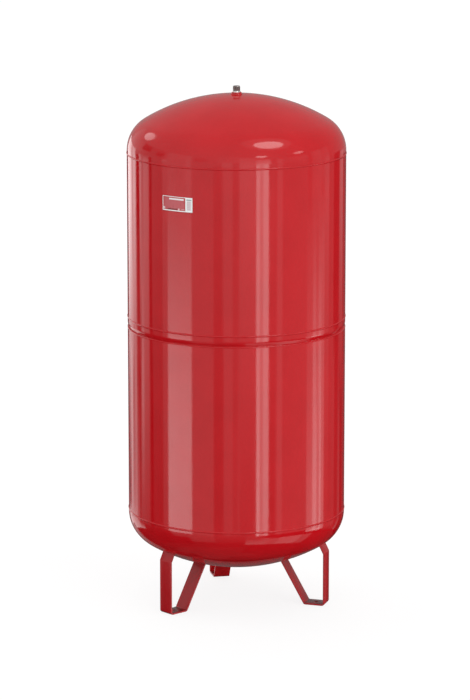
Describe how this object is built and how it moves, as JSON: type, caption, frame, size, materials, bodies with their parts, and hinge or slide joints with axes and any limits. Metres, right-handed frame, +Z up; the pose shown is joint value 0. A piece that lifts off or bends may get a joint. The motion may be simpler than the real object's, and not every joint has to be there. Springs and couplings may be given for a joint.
{
  "type": "expansion tank",
  "caption": "Floor-standing steel expansion tank with dished ends, a ribbed waist joint, an upright threaded water connection on top and folded flat-bar feet.",
  "frame": {"origin": "on the floor, on the vessel's axis", "axes": "+Z up along the vessel's axis towards the water connection; the rear foot points to +Y, the other two to the front left and front right; the picture is taken from about 12 degrees to the left of -Y"},
  "size_m": [0.7932, 0.7932, 1.8986],
  "materials": {
    "red_paint": "glossy red coating on steel",
    "bare_steel": "turned or rolled, uncoated",
    "spring_steel": "drawn wire, bright",
    "valve_brass": "turned",
    "butyl_rubber": "matt moulded rubber",
    "seal_rubber": "smooth rubber",
    "cap_plastic": "moulded, fine ribs",
    "cover_plastic": "moulded",
    "label_film": "printed film with plain fields of colour"
  },
  "bodies": {
    "vessel": {"upper_head": "red_paint", "upper_shell": "red_paint", "waist_ring": "red_paint", "lower_shell": "red_paint", "lower_head": "red_paint", "upper_head_weld": "red_paint", "waist_weld": "red_paint", "rim_weld": "red_paint", "lower_head_weld": "red_paint", "upper_plate_seam": "red_paint", "lower_plate_seam": "red_paint", "connection_nipple": "bare_steel", "nipple_weld": "red_paint", "diaphragm": "butyl_rubber", "clamp_ring": "bare_steel", "valve_socket": "red_paint", "socket_weld": "red_paint", "valve_gasket": "seal_rubber", "valve_body": "valve_brass", "core_barrel": "valve_brass", "core_spring": "spring_steel", "valve_cap": "cap_plastic", "valve_cover": "cover_plastic", "foot_rear": "red_paint", "foot_left": "red_paint", "foot_right": "red_paint", "rating_label": "label_film"},
    "valve_pin": {"core_pin": "valve_brass", "core_seal": "seal_rubber"}
  },
  "joints": [
    {"name": "valve_pin_push", "type": "slide", "parent": "vessel", "child": "valve_pin", "axis": [0, 0, 1], "range_m": [0, 0.0015], "stiffness_N_per_m": 250, "springref_m": -0.004, "deforming": ["core_spring"]}
  ]
}
